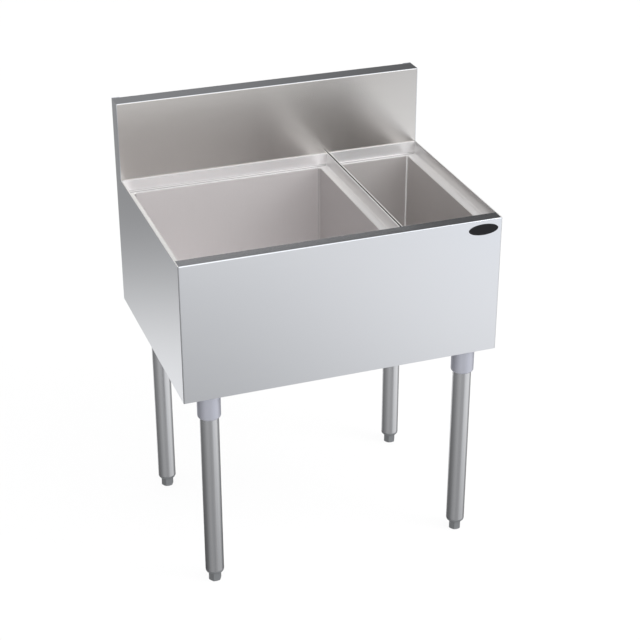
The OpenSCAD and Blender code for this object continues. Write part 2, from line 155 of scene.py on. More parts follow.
def flat(name, low, high, facing):
    """A plane between two corners, left in edit mode."""
    let_go()
    low, high = Vector(low), Vector(high)
    turned = [math.radians(a) for a in TURNS[facing]]
    bpy.ops.mesh.primitive_plane_add(size=1, location=metres((low + high) / 2), rotation=turned)
    x, y, z = (high - low) * MM
    bpy.context.active_object.scale = {"Y": (x, z, 1), "X": (z, y, 1), "Z": (x, y, 1)}[facing[1]]
    piece = settle(name)
    bpy.ops.object.mode_set(mode="EDIT")
    return piece


def pull(step, test=None):
    """Extrudes the edges that pass the test, or those still selected, by a step in millimetres."""
    if test:
        pick("EDGE", test)
    bpy.ops.mesh.extrude_edges_move(TRANSFORM_OT_translate={"value": metres(step)})


def raise_by(step):
    """Extrudes the selected points or faces by a step in millimetres."""
    bpy.ops.mesh.extrude_region_move(TRANSFORM_OT_translate={"value": metres(step)})


def bend(radius, test, segments=5):
    """Rounds the picked edges, as a fold or a dressed weld is."""
    pick("EDGE", test)
    bpy.ops.mesh.bevel(offset=radius * MM, segments=segments, affect="EDGES", clamp_overlap=False)


def tidy():
    """Closes seams and points every face the same way."""
    pick_all()
    bpy.ops.mesh.remove_doubles(threshold=0.01 * MM)
    bpy.ops.mesh.normals_make_consistent(inside=False)


def face_towards(test, way):
    """Turns the whole sheet over if the picked faces don't point the given way."""
    pick("FACE", test)
    cage = bmesh.from_edit_mesh(bpy.context.edit_object.data)
    seen = sum((f.normal * f.calc_area() for f in cage.faces if f.select), Vector())
    pick_all()
    if seen.dot(Vector(way)) < 0:
        bpy.ops.mesh.flip_normals()


def apply_modifier(piece, kind, **settings):
    take(piece)
    made = piece.modifiers.new(kind.title(), kind)
    for key, value in settings.items():
        setattr(made, key, value)
    bpy.ops.object.modifier_apply(modifier=made.name)


def thicken(piece, thickness, even=True):
    apply_modifier(piece, "SOLIDIFY", thickness=thickness * MM, offset=-1, use_even_offset=even)


print("a sheet can face", list(TURNS))


# %% [markdown]
# Round pieces, such as the legs and the drains, are turned on a lathe in the real shop. The same is done
# here: half of the outline is drawn point by point with extrude, and spin sweeps it round its axis.

# %% Lathe moves
def turn(name, outline, centre, steps=64):
    """Spins an outline of (radius, height) points, in millimetres, round an upright axis and closes it."""
    let_go()
    x, y = centre
    r, z = outline[0]
    bpy.ops.mesh.primitive_plane_add(size=MM, location=metres((x + r, y, z)))
    piece = settle(name)
    bpy.ops.object.mode_set(mode="EDIT")
    bpy.ops.mesh.select_mode(type="VERT")
    pick_all()
    bpy.ops.mesh.merge(type="CENTER")
    for (r0, z0), (r1, z1) in zip(outline, outline[1:]):
        raise_by((r1 - r0, 0, z1 - z0))
    pick_all()
    bpy.ops.mesh.spin(steps=steps, angle=2 * math.pi, center=metres((x, y, 0)), axis=(0, 0, 1))
    tidy()
    return piece


def copy_to(piece, name, step):
    """A copy with its own mesh, moved by a step in millimetres."""
    take(piece)
    bpy.ops.object.duplicate_move(TRANSFORM_OT_translate={"value": metres(step)})
    return settle(name)


def weld(name, pieces):
    """Joins pieces into one object under one name."""
    take(pieces[0])
    for p in pieces[1:]:
        p.select_set(True)
    bpy.ops.object.join()
    return settle(name)


def bar(name, centre, radius, length, sides=48, turned=(0, 0, 0)):
    """An upright bar centred on a point, then turned by so many degrees. It also serves as a drill."""
    let_go()
    bpy.ops.mesh.primitive_cylinder_add(vertices=sides, radius=radius * MM, depth=length * MM,
                                        location=metres(centre), rotation=[math.radians(a) for a in turned])
    return settle(name)


def cut(piece, tool, operation="DIFFERENCE"):
    """Cuts one solid with another, which is then thrown away."""
    apply_modifier(piece, "BOOLEAN", object=tool, operation=operation, solver="EXACT")
    bpy.data.objects.remove(tool)


# %% [markdown]
# Every real edge is deburred, so none is perfectly sharp. A narrow bevel on the sharp edges gives the
# thin bright line that the eye expects, and weighted normals keep the large flats flat between the
# rounded folds.

# %% Finishing moves
DEBURR = 0.25  # millimetres taken off a cut edge


def finish(piece, material, solid, body="cabinet", deburr=DEBURR, sharp=40):
    """Deburrs and smooths a piece, gives it its finish, hangs it on the body it rides on, hides the solid
    that it stands in for, and prints how far it reaches past that solid's box.
    """
    if deburr:
        apply_modifier(piece, "BEVEL", width=deburr * MM, segments=2, limit_method="ANGLE",
                       angle_limit=math.radians(sharp), use_clamp_overlap=True)
    take(piece)
    bpy.ops.object.shade_smooth_by_angle(angle=math.radians(sharp))
    apply_modifier(piece, "WEIGHTED_NORMAL", keep_sharp=True)
    piece.data.materials.clear()
    piece.data.materials.append(material)
    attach(piece, body)
    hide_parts(solid)
    low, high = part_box(solid)
    over = max(max(low[i] - v.co[i], v.co[i] - high[i]) for v in piece.data.vertices for i in range(3))
    print(f"{piece.name}: {len(piece.data.polygons)} faces, {over / MM:+.2f} mm past the box of its solid")
    return piece


print("cut edges lose", DEBURR, "mm")


# %% [markdown]
# A piece can need a second finish in places, such as a fold that was dressed by hand. The faces are
# picked by where they are and where they look, and take another of the piece's material slots.

# %% A second finish in places
def refinish(piece, material, test):
    piece.data.materials.append(material)
    picked = [f for f in piece.data.polygons if test(f.center / MM, f.normal)]
    for face in picked:
        face.material_index = len(piece.data.materials) - 1
    print(f"  {material.name} on {len(picked)} faces")


def slanted(way):
    """True for a direction that isn't square to the cabinet, as on a fold."""
    return max(abs(v) for v in way) < 0.97


# %% [markdown]
# ## Finishes
#
# A colour is written as a hex value, as a colour picker shows it, and one function turns it into the
# linear numbers that the shader wants. A second small function adds a node with its settings and links.

# %% Colour and node helpers
def colour(code):
    parts = [int(code[i:i + 2], 16) / 255 for i in (1, 3, 5)]
    return (*(p / 12.92 if p <= 0.04045 else ((p + 0.055) / 1.055) ** 2.4 for p in parts), 1.0)


def node(material, kind, inputs=None, **settings):
    """Adds one shader node, sets it, and fills its inputs with values or with other nodes' outputs."""
    made = material.node_tree.nodes.new("ShaderNode" + kind)
    for key, value in settings.items():
        setattr(made, key, value)
    for socket, value in (inputs or {}).items():
        if isinstance(value, bpy.types.NodeSocket):
            material.node_tree.links.new(value, made.inputs[socket])
        else:
            made.inputs[socket].default_value = value
    return made


def blank(name):
    """A material with an empty sheet of nodes."""
    material = bpy.data.materials.new(name)
    material.use_nodes = True
    material.node_tree.nodes.clear()
    return material


print("a colour written #808080 is", round(colour("#808080")[0], 3), "in linear light")


# %% [markdown]
# Stainless sheet is brushed with a belt, which leaves fine parallel lines. They are about 0.1 mm apart,
# finer than a pixel, so they are drawn 1.5 mm apart here and kept faint. They vary the roughness, the
# colour and the slope a little, so that reflections smear softly, and wide, faint clouds stand for
# handling. Real grain smears what it mirrors across itself: on the splash, whose grain lies level,
# reflections run up and down, and the shader's anisotropy does the same.

# %% Brushed stainless
SMEAR = (0.1, 0.3, 1.0)  # up on the walls, and front to back on what lies flat
PAINTED_SHADE_SHARE = 0.1  # share by which the foot of the splash is painted brighter and its top painted darker, as painted light and shade
CLOUD, CLOUDY = 220.0, 0.35  # the clouds' size in millimetres, and their share of the pattern
SCRATCH = 0.2  # millimetres that a line or a grain would stand out at full strength


def brushed(name, light, dark, rough, grain, line=1.5, length=90.0, spread=0.008, relief=0.002,
            smear=0.0, painted_shade_heights=None):
    """Brushed steel. Its lines run along the grain axis; line and length are their size in millimetres.
    A pair of heights in millimetres, if given, paints the steel brighter at the first height and darker at
    the second, as painted light and shade."""
    m = blank(name)
    place = node(m, "TexCoord").outputs["Object"]
    across = [1 / (line * MM)] * 3
    across["XYZ".index(grain)] = 1 / (length * MM)
    drawn_out = node(m, "Mapping", {"Vector": place, "Scale": across}).outputs[0]
    lines = node(m, "TexNoise", {"Vector": drawn_out, "Scale": 1.0, "Detail": 3.0,
                                 "Roughness": 0.6}).outputs["Fac"]
    clouds = node(m, "TexNoise", {"Vector": place, "Scale": 1 / (CLOUD * MM), "Detail": 2.0}).outputs["Fac"]
    both = node(m, "Mix", {"Factor": CLOUDY, 2: lines, 3: clouds}, data_type="FLOAT").outputs[0]
    tone = node(m, "Mix", {"Factor": both, 6: colour(dark), 7: colour(light)}, data_type="RGBA").outputs[2]
    # painted light and shade: brighter low down, darker high up
    if painted_shade_heights:
        height = node(m, "SeparateXYZ", {"Vector": place}).outputs["Z"]
        share = node(m, "MapRange", {"Value": height, "From Min": painted_shade_heights[0] * MM, "From Max": painted_shade_heights[1] * MM,
                                     "To Min": 1 + PAINTED_SHADE_SHARE, "To Max": 1 - PAINTED_SHADE_SHARE}).outputs[0]
        tone = node(m, "Mix", {"Factor": 1.0, 6: tone, 7: share}, data_type="RGBA",
                    blend_type="MULTIPLY").outputs[2]
    gloss = node(m, "MapRange", {"Value": both, "From Min": 0.3, "From Max": 0.7,
                                 "To Min": rough - spread, "To Max": rough + spread}).outputs[0]
    bump = node(m, "Bump", {"Height": lines, "Strength": relief, "Distance": SCRATCH * MM}).outputs[0]
    steel = node(m, "BsdfPrincipled", {"Base Color": tone, "Roughness": gloss, "Normal": bump,
                                       "Metallic": 1.0, "Anisotropic": smear})
    if smear:
        up = node(m, "CombineXYZ", dict(zip("XYZ", SMEAR))).outputs[0]
        m.node_tree.links.new(up, steel.inputs["Tangent"])
    node(m, "OutputMaterial", {"Surface": steel.outputs[0]})
    return m


# the casing's fine brushing: an even, softly mirroring grey
casing_x = brushed("brushed_stainless_along_x", "#dfe1e5", "#d9dbe0", 0.18, "X")
casing_y = brushed("brushed_stainless_along_y", "#dee0e4", "#d8dadf", 0.2, "Y")
# a warmer tone, with reflections drawn out up and down, painted brighter at its foot and darker at its top as
# painted light and shade
splash_steel = brushed("bright_brushed_stainless", "#d7d4d1", "#d2cfcc", 0.25, "X", smear=0.45,
                       painted_shade_heights=(800, 976))
# the collars: pale and soft, palest on the ice well's back wall, which is painted paler as painted light
collar_steel = brushed("collar_stainless", "#eeeded", "#e9e8e8", 0.42, "X", smear=0.75)
collar_back_painted_light_steel = brushed("collar_stainless_painted_light", "#fcfafa", "#f7f5f5", 0.42, "X", smear=0.75)
collar_end_steel = brushed("collar_stainless_along_y", "#ecebeb", "#e7e6e6", 0.3, "Y")
# folds and seams dressed by hand: a duller, darker line; the casing's front corner seam is also painted
# darker as a painted dark reflection
dressed_steel = brushed("dressed_stainless_fold", "#bfbdbd", "#b9b7b7", 0.42, "X")
seam_and_shade_steel = brushed("dressed_corner_seam_and_painted_reflection", "#b2b4b7", "#abadb0", 0.3, "Z")
# rolled edges, rougher and painted paler as a painted highlight, and the narrow tub's upright corners,
# painted white as a painted highlight: so matte that they shine evenly pale along their whole length
rolled_and_highlight_steel = brushed("rolled_edge_and_painted_highlight_stainless", "#f6f5f4", "#f1f0ef", 0.7, "Y")
corner_highlight_steel = brushed("painted_highlight_corner", "#ffffff", "#fafafa", 0.95, "Z")
# painted nearly black in the gap of the divider, as painted shade
gap_shade_steel = brushed("painted_shade_gap_stainless", "#454444", "#3b3a3a", 0.5, "Y")
# sheet as it left the mill: dull and cloudy
inner_steel = brushed("mill_rolled_stainless", "#c6c7c8", "#a2a3a5", 0.42, "X", line=3.0, length=240.0,
                      spread=0.03, relief=0.05)
# turned fittings, satin tubes with long upright lines, and dull grey feet
turned_steel = brushed("turned_stainless", "#cfd0d2", "#bcbdc0", 0.30, "Z", line=0.8, length=0.8)
tube_steel = brushed("satin_tube_stainless", "#d0d1d4", "#c6c7ca", 0.2, "Z", line=2.5, length=400.0)
foot_steel = brushed("dull_machined_steel", "#a2a4a6", "#8e9093", 0.6, "Z", line=1.0, length=6.0)
# the tubs' satin blurs what it mirrors into soft shades; the narrow bottle well is painted darker than the
# ice well, and each well's ends darker than its walls, as painted shade
TUB_TONES_AND_SHADE = {"ice": ("#efecec", "#eae7e7", "#d4d1d1", "#cfcccc"),
             "bottle": ("#e4e1e0", "#dfdcdb", "#dad7d6", "#d5d2d1")}
tub_steels_and_shade = {well: (brushed(well + "_tub_satin_stainless", *tones[:2], 0.64, "Z"),
                     brushed(well + "_tub_end_painted_shade_stainless", *tones[2:], 0.64, "Z"))
              for well, tones in TUB_TONES_AND_SHADE.items()}
# the tubs' inner front walls, painted white as painted light that the splash mirrors
front_painted_light_satin = brushed("tub_front_painted_light_stainless", "#ffffff", "#fafafa", 0.6, "Z")
print("steels:", [m.name for m in bpy.data.materials if "steel" in m.name or "stainless" in m.name])


# %% [markdown]
# The sockets are cast and sprayed with silver paint, whose flakes mirror the room dimly, so that they
# shade from left to right as the tubes do. The rest are small: a black enamelled plate with a low shine,
# yellow brass lock nuts, dull black rubber, coarse cream foam and plain bright bolts.

# %% Paint, brass, rubber and foam
SPECKLE = 0.06  # how far the grit makes the roughness go up and down


def plain(name, light, dark, rough, metallic=0.0, grit=1.2, relief=0.1, shine=0.5):
    """A matte or satin surface with fine grit; grit is the size of its grains in millimetres."""
    m = blank(name)
    place = node(m, "TexCoord").outputs["Object"]
    grains = node(m, "TexNoise", {"Vector": place, "Scale": 1 / (grit * MM), "Detail": 3.0}).outputs["Fac"]
    tone = node(m, "Mix", {"Factor": grains, 6: colour(dark), 7: colour(light)}, data_type="RGBA").outputs[2]
    gloss = node(m, "MapRange", {"Value": grains, "To Min": rough - SPECKLE,
                                 "To Max": rough + SPECKLE}).outputs[0]
    bump = node(m, "Bump", {"Height": grains, "Strength": relief, "Distance": SCRATCH * MM}).outputs[0]
    skin = node(m, "BsdfPrincipled", {"Base Color": tone, "Roughness": gloss, "Normal": bump,
                                      "Metallic": metallic, "Specular IOR Level": shine})
    node(m, "OutputMaterial", {"Surface": skin.outputs[0]})
    return m


socket_paint = plain("silver_painted_casting", "#cdcfda", "#c5c7d2", 0.42, metallic=0.85, relief=0.05)
plate_enamel = plain("black_enamel", "#16171b", "#101114", 0.4, grit=0.6, relief=0.03, shine=0.25)
nut_brass = plain("machined_brass", "#c9a063", "#b58c50", 0.35, metallic=1.0, grit=0.5)
washer_rubber = plain("black_rubber", "#1d1d1e", "#121213", 0.7, grit=0.8)
cream_foam = plain("poured_foam", "#e9dfb9", "#d8cb9f", 0.9, grit=3.0, relief=0.6)
bolt_steel = plain("plain_stainless_bolt", "#c6c7c9", "#b2b3b6", 0.32, metallic=1.0, grit=0.8)
OTHERS = (socket_paint, plate_enamel, nut_brass, washer_rubber, cream_foam, bolt_steel)
print("other finishes:", [m.name for m in OTHERS])

# %% [markdown]
# ## The casing
#
# The front is one sheet: its face, the flat rim on top and a short lip that turns down behind the rim. It
# is folded on a press brake, so its bends have an outer radius of about 2.4 mm, twice the sheet's
# thickness. Those two soft folds catch the light as bright lines, which a sharp box would not do.

# %% Drawing sizes of the casing
SHEET = 1.2
BEND = 2 * SHEET
SIDE_X = 355.5
INNER_X = SIDE_X - BEND
FRONT_Y, BACK_Y, SPLASH_Y = -258.5, 258.5, 213.5
REAR_Y = BACK_Y - SHEET
BOTTOM_Z, SPLASH_FOOT, RIM_Z, TOP_Z = 483.0, 767.0, 798.0, 976.0
RIM_DEPTH, RIM_LIP, HEM, FLANGE = 31.0, 12.0, 12.0, 18.0
print("casing", 2 * SIDE_X, "x", BACK_Y - FRONT_Y, "x", TOP_Z - BOTTOM_Z, "mm")

# %% Fold the front
front = flat("front_sheet", (-INNER_X, FRONT_Y, BOTTOM_Z), (INNER_X, FRONT_Y, RIM_Z), "-Y")
pull((0, RIM_DEPTH, 0), lambda p, way: near(p.z, RIM_Z))
pull((0, 0, -RIM_LIP))
bend(BEND, lambda p, way: near(p.z, RIM_Z) and along("X", way))
thicken(front, SHEET)
finish(front, casing_x, "front_apron")

# %% [markdown]
# Each side is an L shaped sheet. Its front edge wraps a quarter turn round the corner and is welded to
# the front, its top edge is folded over inwards into a hem, which is why the rim looks round and bright,
# and its back edge turns in behind the rear sheet. A small notch lets the hem fold without tearing the
# sheet where the splash rises. One side is modelled, and the other is its mirror image. The hem's top
# takes the matte finish of a rolled edge, painted paler as a painted highlight, and the corner round to
# the front that of a dressed seam, painted darker as a painted dark reflection.

# %% Fold the left side and mirror it
left = flat("left_side_sheet", (-SIDE_X, FRONT_Y, BOTTOM_Z), (-SIDE_X, SPLASH_Y, RIM_Z), "-X")
pull((0, BACK_Y - SPLASH_Y, 0), lambda p, way: near(p.y, SPLASH_Y))
pull((0, 0, TOP_Z - RIM_Z), lambda p, way: near(p.z, RIM_Z) and p.y > SPLASH_Y)
pull((BEND, 0, 0), lambda p, way: near(p.y, FRONT_Y))
pull((FLANGE, 0, 0), lambda p, way: near(p.y, BACK_Y))
bend(BEND - 0.01, lambda p, way: near(p.y, FRONT_Y) and near(p.x, -SIDE_X))
bend(SHEET, lambda p, way: near(p.y, BACK_Y) and near(p.x, -SIDE_X) and along("Z", way))
NOTCH_Y = SPLASH_Y - SHEET
for point, way in (((0, NOTCH_Y, 0), (0, 1, 0)), ((0, 0, RIM_Z - BEND), (0, 0, 1))):
    pick_all()
    bpy.ops.mesh.bisect(plane_co=metres(point), plane_no=way)
pick("FACE", lambda p, way: NOTCH_Y < p.y < SPLASH_Y and RIM_Z - BEND < p.z < RIM_Z)
bpy.ops.mesh.delete(type="FACE")
pull((BEND, 0, 0), lambda p, way: near(p.z, RIM_Z) and near(p.x, -SIDE_X) and p.y < NOTCH_Y
     and along("Y", way))
pull((0, 0, -HEM))
bend(SHEET - 0.4, lambda p, way: near(p.z, RIM_Z) and p.y < SPLASH_Y and along("Y", way)
     and p.x < -INNER_X + 0.1)
tidy()
face_towards(lambda p, way: near(p.x, -SIDE_X), (-1, 0, 0))
thicken(left, SHEET - 0.05)
right = copy_to(left, "right_side_sheet", (0, 0, 0))
bpy.ops.object.mode_set(mode="EDIT")
pick_all()
bpy.ops.transform.resize(value=(-1, 1, 1), center_override=(0, 0, 0))
bpy.ops.mesh.flip_normals()
finish(left, casing_y, "side_panel_left")
finish(right, casing_y, "side_panel_right")
for side in (left, right):
    # the hem's top: rougher where rolled, and painted paler as a painted highlight
    refinish(side, rolled_and_highlight_steel, lambda p, way: way.z > 0.2 and near(p.z, RIM_Z, 1.5) and p.y < SPLASH_Y)
    # the corner round to the front: a dressed seam, painted darker as a painted dark reflection
    refinish(side, seam_and_shade_steel, lambda p, way: slanted(way) and way.y < -0.1 and abs(way.z) < 0.1
             and p.y < FRONT_Y + BEND)

# %% [markdown]
# The splash is a box of one sheet: a face that rises behind the wells, a flat top and a short flange down
# the back. The rear sheet fills in below that flange. The splash's top is brushed as the casing is.

# %% Fold the splash and the rear sheet
SHEET_X = SIDE_X - SHEET
splash = flat("splash_sheet", (-SHEET_X, SPLASH_Y, SPLASH_FOOT), (SHEET_X, SPLASH_Y, TOP_Z), "-Y")
pull((0, REAR_Y - SPLASH_Y, 0), lambda p, way: near(p.z, TOP_Z))
pull((0, 0, -FLANGE))
bend(BEND, lambda p, way: near(p.z, TOP_Z) and along("X", way))
thicken(splash, SHEET)
finish(splash, splash_steel, "backsplash")
refinish(splash, casing_x, lambda p, way: way.z > 0.5)

rear = flat("rear_sheet", (-SHEET_X, REAR_Y, BOTTOM_Z), (SHEET_X, REAR_Y, TOP_Z - FLANGE), "+Y")
thicken(rear, SHEET)
finish(rear, inner_steel, "rear_panel")

# %% [markdown]
# ## The collars
#
# Each well hangs in a collar: a sunk frame with a flat ledge, upright walls, and a thick rolled edge
# along the divider and the splash. The ledge is the space between two outlines, so both are drawn and the
# ring between them is filled. The walls are pulled up from the outer one, and the rolled edges are spun
# half a turn over a 3 mm round. Extruding by nothing gives a second outline in the same place, which is
# then scaled inwards. The ends are brushed the other way, the folds are dressed, and the rolled edges are
# matte and painted paler, as a painted highlight. The ice well's back wall is painted paler as painted
# light, its left ledge takes the rolled edges' pale finish as a painted highlight, and the gap between the
# collars is painted nearly black as painted shade.

# %% Drawing sizes of the wells
SHEET_IN = 1.0
LEDGE_Z, FLOOR_Z, SUMP_Z = 768.0, 513.2, 507.2
ROLL, ROLL_DOWN = 3.0, 7.5
RECESS_Y = (-226.5, 210.5)
WELL_Y = (-210.5, 201.5)
WELLS = {
    "ice": {"recess": (-352.1, 131.0), "well": (-330.6, 112.0), "corner": 7.0, "cove": 7.0},
    "bottle": {"recess": (140.0, 352.1), "well": (159.0, 330.6), "corner": 3.5, "cove": 3.5},
}
DRAINS = {well: (sum(part["well"]) / 2, sum(WELL_Y) / 2) for well, part in WELLS.items()}
LIP, FOLD = 1.6, 5.0
print("wells", {k: [round(v["well"][1] - v["well"][0], 1), WELL_Y[1] - WELL_Y[0]] for k, v in WELLS.items()})


# %% Outlines with round corners
def add_outline(x, y, z, corner):
    """Adds a rectangle with round corners to the mesh in edit mode and keeps only its edge."""
    middle = metres(((x[0] + x[1]) / 2, (y[0] + y[1]) / 2, z))
    bpy.ops.mesh.select_all(action="DESELECT")
    bpy.ops.mesh.primitive_plane_add(size=1, location=middle)
    bpy.ops.transform.resize(value=((x[1] - x[0]) * MM, (y[1] - y[0]) * MM, 1), center_override=middle)
    bpy.ops.mesh.select_mode(type="VERT")
    bpy.ops.mesh.bevel(offset=corner * MM, segments=8, affect="VERTICES", clamp_overlap=False)
    bpy.ops.mesh.select_mode(type="FACE")
    bpy.ops.mesh.delete(type="ONLY_FACE")


def on_outline(p, x, y, corner=0.0, slack=0.15):
    """True for a point on the round cornered outline between x and y."""
    dx = max(x[0] + corner - p.x, p.x - x[1] + corner)
    dy = max(y[0] + corner - p.y, p.y - y[1] + corner)
    away = math.hypot(dx, dy) if dx > 0 and dy > 0 else max(dx, dy)
    return near(away, corner, slack)


def widen(x, y, z, by):
    """Scales the selected outline about its middle, so that each side moves out by so many millimetres."""
    wide, deep = x[1] - x[0], y[1] - y[0]
    bpy.ops.transform.resize(value=((wide + 2 * by) / wide, (deep + 2 * by) / deep, 1),
                             center_override=metres(((x[0] + x[1]) / 2, (y[0] + y[1]) / 2, z)))


# %% Form the collars
def form_collar(name, part):
    x, y, corner = part["recess"], RECESS_Y, part["corner"]
    out = 1 if x[0] < 0 else -1
    piece = flat(name, (x[0], y[0], LEDGE_Z), (x[1], y[1], LEDGE_Z), "+Z")
    pick_all()
    bpy.ops.mesh.delete(type="ONLY_FACE")
    at_wall = lambda p, way: near(p.z, LEDGE_Z) and on_outline(p, x, y, slack=0.05)
    top = RIM_Z - ROLL / 2
    pull((0, 0, top - LEDGE_Z), at_wall)
    pull((0, 0, 0), at_wall)
    strip = FOLD + 1
    widen(x, y, LEDGE_Z, -strip)
    bend(FOLD, at_wall, segments=8)
    lip_x = [v + s * (LIP + 0.05) for v, s in zip(part["well"], (-1, 1))]
    lip_y = [v + s * (LIP + 0.05) for v, s in zip(WELL_Y, (-1, 1))]
    add_outline(lip_x, lip_y, LEDGE_Z, corner + LIP)
    inner = ((x[0] + strip, x[1] - strip), (y[0] + strip, y[1] - strip))
    pick("EDGE", lambda p, way: near(p.z, LEDGE_Z) and (on_outline(p, *inner, slack=0.05)
                                                        or on_outline(p, lip_x, lip_y, corner + LIP)))
    bpy.ops.mesh.fill(use_beauty=True)
    tidy()
    face_towards(lambda p, way: near(p.z, LEDGE_Z), (0, 0, 1))
    wall_x = x[1] if out > 0 else x[0]
    pick("EDGE", lambda p, way: near(p.z, top) and near(p.x, wall_x) and along("Y", way))
    bpy.ops.mesh.spin(steps=8, angle=math.pi, center=metres((wall_x + out * ROLL / 2, 0, top)),
                      axis=(0, -out, 0))
    pull((0, 0, -ROLL_DOWN))
    pull((0, ROLL, 0), lambda p, way: near(p.y, y[1]) and 0.01 < out * (p.x - wall_x) < ROLL + 0.1)
    pick("EDGE", lambda p, way: near(p.z, top) and near(p.y, y[1]) and along("X", way) and x[0] < p.x < x[1])
    bpy.ops.mesh.spin(steps=8, angle=math.pi, center=metres((0, y[1] + ROLL / 2, top)), axis=(1, 0, 0))
    pull((0, 0, -ROLL_DOWN))
    thicken(piece, SHEET_IN - 0.1, even=False)
    return piece


def in_gap(p, way):
    """True deep between the two rolled edges of the divider."""
    left, right = WELLS["ice"]["recess"][1] + ROLL / 2, WELLS["bottle"]["recess"][0] - ROLL / 2
    return left < p.x < right and p.z < RIM_Z - ROLL / 4


for well, part in WELLS.items():
    collar = form_collar(well + "_collar_sheet", part)
    finish(collar, collar_steel, well + "_well_collar", deburr=0.2)
    refinish(collar, collar_end_steel, lambda p, way: along("X", way))
    if well == "ice":
        # the ice well's back wall is painted paler, as painted light
        refinish(collar, collar_back_painted_light_steel, lambda p, way: way.y < -0.9)
        # the ice well's flat left ledge takes the pale rolled finish as a painted highlight
        refinish(collar, rolled_and_highlight_steel, lambda p, way: way.z > 0.9 and p.x < part["well"][0]
                 and p.z < LEDGE_Z + 1)
    refinish(collar, dressed_steel, lambda p, way: slanted(way) and abs(way.x) < 0.2)
    # the rolled edges: rougher, and painted paler as a painted highlight
    refinish(collar, rolled_and_highlight_steel, lambda p, way: p.z > RIM_Z - ROLL / 2 and abs(way.y) < 0.3
             and not in_gap(p, way))
    # the faces deep in the divider's gap are painted nearly black, as painted shade
    refinish(collar, gap_shade_steel, in_gap)

# %% [markdown]
# ## The tubs
#
# A tub is pressed and welded, then ground smooth: its upright corners and its floor are coved so that
# they wipe clean, and its floor dips round the drain. It is drawn from its outline: the walls are pulled
# up, a narrow strip of floor is pulled in, and the fold between them is rounded. Rings round the drain
# make the sump, and the flat floor is filled in last. The front wall is painted white as painted light,
# so that the splash mirrors it brighter, and the narrow tub's upright corners are painted white as a
# painted highlight. Each tub's ends are painted darker than its walls, and the narrow tub darker than
# the wide one, as painted shade.

# %% Form the tubs
HOLE_R, SUMP_FLAT_R, SUMP_R = 22.5, 38.0, 58.0


def form_tub(name, part):
    x, y, corner = part["well"], WELL_Y, part["corner"]
    drain = (sum(x) / 2, sum(y) / 2, SUMP_Z)
    away = lambda p: math.hypot(p.x - drain[0], p.y - drain[1])
    let_go()
    bpy.ops.mesh.primitive_circle_add(vertices=64, radius=HOLE_R * MM, location=metres(drain))
    piece = settle(name)
    bpy.ops.object.mode_set(mode="EDIT")
    bpy.ops.mesh.select_mode(type="EDGE")
    pick_all()
    ring_r = SUMP_R + 5
    rings = ((HOLE_R, SUMP_FLAT_R, 0), (SUMP_FLAT_R, SUMP_R, FLOOR_Z - SUMP_Z), (SUMP_R, ring_r, 0))
    for r0, r1, rise in rings:
        pull((0, 0, rise))
        bpy.ops.transform.resize(value=(r1 / r0, r1 / r0, 1), center_override=metres(drain))
    for r, z in ((SUMP_FLAT_R, SUMP_Z), (SUMP_R, FLOOR_Z)):
        bend(4, lambda p, way: near(p.z, z) and near(away(p), r, 0.1) and abs(way.z) < 0.1, segments=3)
    add_outline(x, y, FLOOR_Z, corner)
    at_wall = lambda p, way: near(p.z, FLOOR_Z) and on_outline(p, x, y, corner) and away(p) > ring_r + 1
    pull((0, 0, LEDGE_Z - FLOOR_Z), at_wall)
    pull((0, 0, 0))
    widen(x, y, LEDGE_Z, LIP)
    bend(LIP - 0.05, lambda p, way: near(p.z, LEDGE_Z) and on_outline(p, x, y, corner), segments=4)
    pull((0, 0, 0), at_wall)
    strip = part["cove"] + 1
    widen(x, y, FLOOR_Z, -strip)
    bend(part["cove"], at_wall, segments=6)
    bpy.ops.mesh.select_all(action="DESELECT")
    cage = bmesh.from_edit_mesh(piece.data)
    for edge in cage.edges:
        flat_edge = all(near(v.co.z / MM, FLOOR_Z) for v in edge.verts)
        edge.select_set(edge.is_boundary and flat_edge)
    bmesh.update_edit_mesh(piece.data)
    bpy.ops.mesh.fill(use_beauty=True)
    tidy()
    face_towards(lambda p, way: near(p.z, SUMP_Z), (0, 0, 1))
    thicken(piece, SHEET_IN - 0.1)
    return piece


for well, part in WELLS.items():
    satin, end_shade_satin = tub_steels_and_shade[well]
    tub = finish(form_tub(well + "_tub", part), satin, well + "_well_liner", deburr=0.2)
    # the tub's ends are painted darker than its walls, as painted shade
    refinish(tub, end_shade_satin, lambda p, way: abs(way.x) > 0.2)
    # the inner front wall is painted white, as painted light
    refinish(tub, front_painted_light_satin, lambda p, way: way.y > 0.9 and p.z < LEDGE_Z - LIP)
    refinish(tub, dressed_steel, lambda p, way: slanted(way) and p.z > LEDGE_Z - LIP)
    # the lip's folds at the ends are painted paler, as a painted highlight
    refinish(tub, rolled_and_highlight_steel, lambda p, way: slanted(way) and p.z > LEDGE_Z - LIP and abs(way.x) > 0.2)
    if well == "bottle":
        # the narrow tub's upright corners are painted white, as a painted highlight
        refinish(tub, corner_highlight_steel, lambda p, way: slanted(way) and abs(way.z) < 0.1 and p.z < LEDGE_Z - LIP)

# %% [markdown]
# ## The drains
#
# Each drain is turned from bar: a flange that lies on the sump, a seat cut into it for the strainer, a
# mouth that narrows to the bore, and a one inch tail below. A few millimetres of screw thread show under
# the lock nut, so the threads are drawn as a row of small ridges on the outline. The strainer is a disc,
# drilled in rings of 1, 6 and 12.

# %% Drawing sizes of the drain
FLANGE_TOP, FLANGE_UNDER, FLANGE_R = 512.2, 508.7, 36.0
SEAT_Z, SEAT_R, SHANK_R, SHANK_END = 510.2, 30.0, 22.0, 488.2
TAIL_R, TAIL_END, BORE_R, FUNNEL_R, FUNNEL_H = 16.7, 438.0, 12.7, 18.0, 8.0
STRAINER_R, STRAINER_Z, STRAINER_T = 29.5, 510.3, 1.5
HOLE_PITCH, STRAINER_HOLE_R = 7.6, 2.6
SHANK_CORE, RIDGE = SHANK_R - 0.7, 1.5


